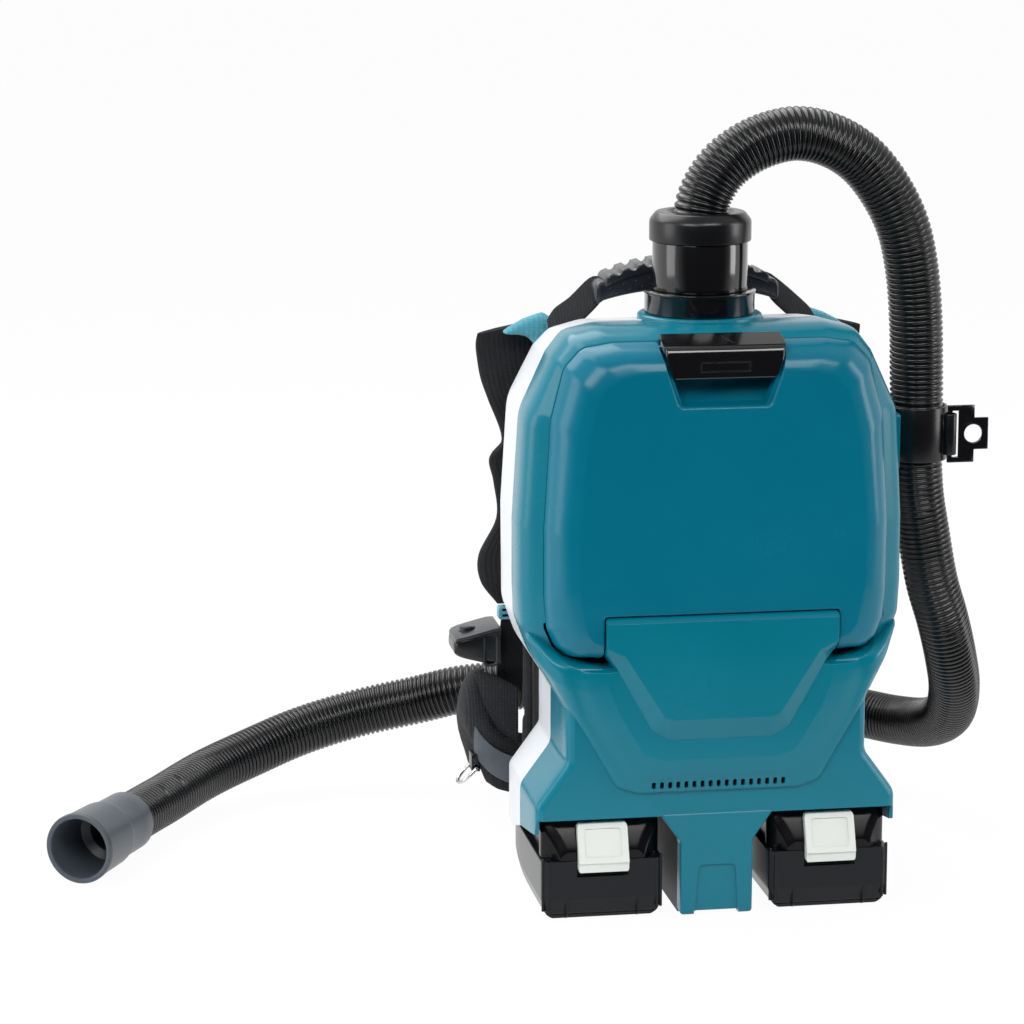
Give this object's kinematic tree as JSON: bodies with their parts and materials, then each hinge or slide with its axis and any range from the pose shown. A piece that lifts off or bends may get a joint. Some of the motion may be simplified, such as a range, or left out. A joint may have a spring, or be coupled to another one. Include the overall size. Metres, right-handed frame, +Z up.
{
  "type": "backpack vacuum cleaner",
  "caption": "Backpack vacuum cleaner with a bottom-hinged front cover, slide-on batteries, a long ribbed suction hose from its top and a padded carrying harness.",
  "frame": {"origin": "on the floor, in the rest face of the centre foot", "axes": "+Z up, -Y towards the front cover, +X to the right of someone who faces the cover"},
  "size_m": [0.6087, 0.356, 0.485],
  "materials": {
    "cover_teal": "smooth gloss, moulded",
    "housing_teal": "smooth satin gloss, moulded",
    "frame_white": "smooth satin, moulded",
    "black_plastic": "fine grain",
    "grey_plastic": "fine grain",
    "light_plastic": "smooth",
    "hose_grey": "ribbed, satin",
    "webbing": "ribbed woven webbing",
    "padding": "padded mesh cloth",
    "yoke_teal": "woven cloth",
    "rubber": "matte",
    "steel": "brushed",
    "ring_steel": "polished",
    "copper": "wound wire",
    "paper": "filter fleece",
    "card": "plain card",
    "board_green": "circuit board",
    "cell_blue": "sleeved cell"
  },
  "bodies": {
    "cleaner": {"rear_frame": "frame_white", "front_housing": "housing_teal", "battery_deck": "black_plastic", "terminal_blocks": "grey_plastic", "cover_hinge_pins": "steel", "cover_seal": "rubber", "inlet_socket": "black_plastic", "swivel_collar": "black_plastic", "hose": "hose_grey", "hose_cuff": "grey_plastic", "bag_holder": "grey_plastic", "bag_flange": "card", "dust_bag": "paper", "filter_frame": "grey_plastic", "filter_pleats": "paper", "filter_deck": "grey_plastic", "fan_shroud": "grey_plastic", "stator": "copper", "motor_can": "steel", "motor_bearings": "steel", "motor_damper": "rubber", "motor_cradle": "grey_plastic", "circuit_board": "board_green", "housing_screws": "steel", "handle_webbing": "webbing", "handle_grip": "rubber", "handle_anchors": "black_plastic", "back_plate": "black_plastic", "back_pad": "padding", "shoulder_yoke": "yoke_teal", "shoulder_strap_left": "webbing", "shoulder_strap_right": "webbing", "hip_belt_left": "padding", "hip_belt_right": "padding", "belt_webbing": "webbing", "strap_webbing": "webbing", "buckle_socket": "black_plastic", "buckle_plug": "black_plastic", "ring_tab": "black_plastic", "control_box": "black_plastic", "hose_band": "rubber"},
    "cover": {"front_cover": "cover_teal", "latch_pin": "steel"},
    "latch": {"cover_latch": "black_plastic"},
    "connector": {"lock_ring": "black_plastic", "hose_neck": "black_plastic"},
    "rotor": {"motor_shaft": "steel", "rotor_core": "copper", "impeller": "grey_plastic"},
    "battery_left": {"battery_left_case": "black_plastic", "battery_left_top": "black_plastic", "battery_left_cells": "cell_blue"},
    "battery_left_release": {"battery_left_button": "light_plastic"},
    "battery_right": {"battery_right_case": "black_plastic", "battery_right_top": "black_plastic", "battery_right_cells": "cell_blue"},
    "battery_right_release": {"battery_right_button": "light_plastic"},
    "ring": {"d_ring": "ring_steel"},
    "plate": {"band_plate": "black_plastic"},
    "button": {"control_button": "grey_plastic"}
  },
  "joints": [
    {"name": "cover_swing", "type": "hinge", "parent": "cleaner", "child": "cover", "pos_m": [0, -0.07, 0.172], "axis": [1, 0, 0], "range_deg": [0, 95]},
    {"name": "latch_flip", "type": "hinge", "parent": "cover", "child": "latch", "pos_m": [0, -0.0625, 0.353], "axis": [-1, 0, 0], "range_deg": [0, 25], "stiffness_Nm_per_rad": 0.05, "springref_deg": -5.73},
    {"name": "connector_turn", "type": "hinge", "parent": "cleaner", "child": "connector", "pos_m": [0, -0.005, 0.37], "axis": [0, 0, 1], "range_deg": [0, 40]},
    {"name": "rotor_spin", "type": "hinge", "parent": "cleaner", "child": "rotor", "pos_m": [0, -0.01, 0.1], "axis": [0, 0, 1], "continuous": true},
    {"name": "battery_left_slide", "type": "slide", "parent": "cleaner", "child": "battery_left", "axis": [0, -1, 0], "range_m": [0, 0.12]},
    {"name": "battery_left_release_push", "type": "slide", "parent": "battery_left", "child": "battery_left_release", "axis": [0, -0.4327, -0.9015], "range_m": [0, 0.003], "stiffness_N_per_m": 400, "springref_m": -0.0005},
    {"name": "battery_right_slide", "type": "slide", "parent": "cleaner", "child": "battery_right", "axis": [0, -1, 0], "range_m": [0, 0.12]},
    {"name": "battery_right_release_push", "type": "slide", "parent": "battery_right", "child": "battery_right_release", "axis": [0, -0.4327, -0.9015], "range_m": [0, 0.003], "stiffness_N_per_m": 400, "springref_m": -0.0005},
    {"name": "ring_swing", "type": "hinge", "parent": "cleaner", "child": "ring", "pos_m": [-0.1228, 0.1, 0.053], "axis": [0, 1, 0], "range_deg": [0, 90]},
    {"name": "plate_swing", "type": "hinge", "parent": "cleaner", "child": "plate", "pos_m": [0.1595, -0.004, 0.281], "axis": [0, 0, 1], "range_deg": [-30, 30]},
    {"name": "control_push", "type": "slide", "parent": "cleaner", "child": "button", "axis": [0, 0, -1], "range_m": [0, 0.0015], "stiffness_N_per_m": 300, "springref_m": -0.0005}
  ]
}
